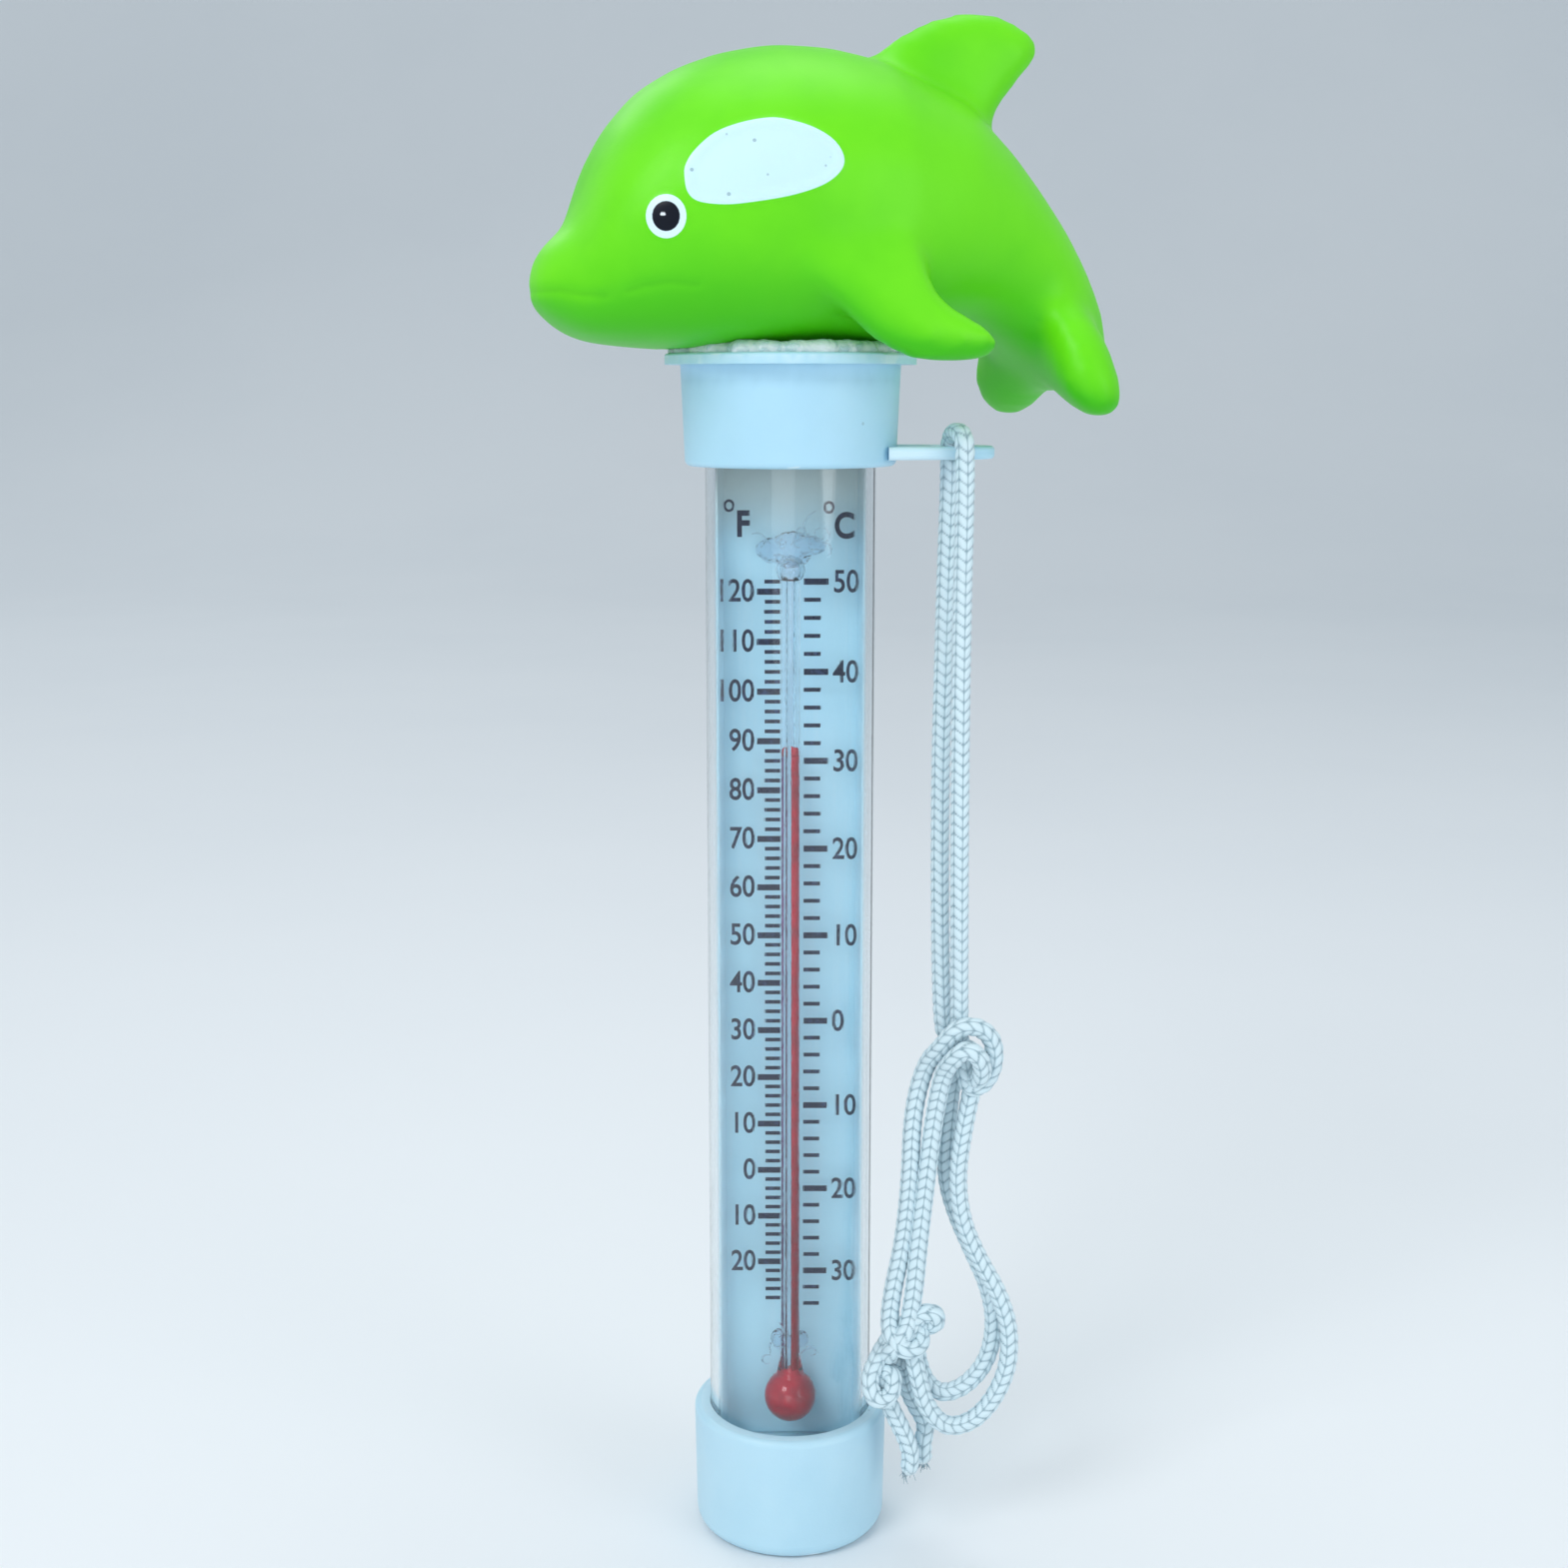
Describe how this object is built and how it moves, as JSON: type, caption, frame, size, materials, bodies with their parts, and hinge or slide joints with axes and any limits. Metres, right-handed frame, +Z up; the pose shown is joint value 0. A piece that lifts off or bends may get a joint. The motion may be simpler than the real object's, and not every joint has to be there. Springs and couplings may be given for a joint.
{
  "type": "floating pool thermometer",
  "caption": "Floating pool thermometer: dolphin float head, clear tube with a two-scale card and a spirit thermometer, weighted bottom cap and a knotted cord lanyard.",
  "frame": {"origin": "centre of the bottom cap's flat base", "axes": "+Z up along the tube, -Y the side that the scale faces, +X towards the lanyard lug"},
  "size_m": [0.0695, 0.0457, 0.1837],
  "materials": {
    "cap_plastic": "smooth moulded",
    "seal_rubber": "satin",
    "ballast_steel": "turned",
    "clear_glue": "glossy, milky",
    "tube_clear": "clear gloss plastic",
    "card": "printed",
    "stem_glass": "clear",
    "spirit": "liquid",
    "float_vinyl": "soft satin vinyl",
    "cord": "braided"
  },
  "bodies": {
    "tube": {"bottom_cap": "cap_plastic", "bottom_seal": "seal_rubber", "ballast_weight": "ballast_steel", "ballast_glue": "clear_glue", "clear_tube": "tube_clear", "scale_card": "card", "glass_stem": "stem_glass", "bulb_spirit": "spirit", "spirit_column": "spirit", "bottom_glue": "clear_glue", "top_glue": "clear_glue", "top_seal": "seal_rubber", "top_cap": "cap_plastic", "belly_glue": "clear_glue", "float_plug": "cap_plastic", "float_shell": "float_vinyl"},
    "spirit_level": {"spirit_top": "spirit"},
    "lanyard": {"cord_bight": "cord", "cord_front": "cord", "cord_rear": "cord", "upper_knot": "cord", "cord_left_outer": "cord", "cord_left_inner": "cord", "cord_loop_outer": "cord", "cord_loop_inner": "cord", "lower_knot": "cord", "lower_knot_tuck": "cord", "tail_left": "cord", "tail_right": "cord"}
  },
  "joints": [
    {"name": "spirit_level", "type": "slide", "parent": "tube", "child": "spirit_level", "axis": [0, 0, 1], "range_m": [-0.0713, 0.0195], "deforming": ["spirit_column"]},
    {"name": "lanyard_swing", "type": "hinge", "parent": "tube", "child": "lanyard", "pos_m": [0.0191, -0.00375, 0.13335], "axis": [1, 0, 0], "range_deg": [-40, 0]}
  ]
}
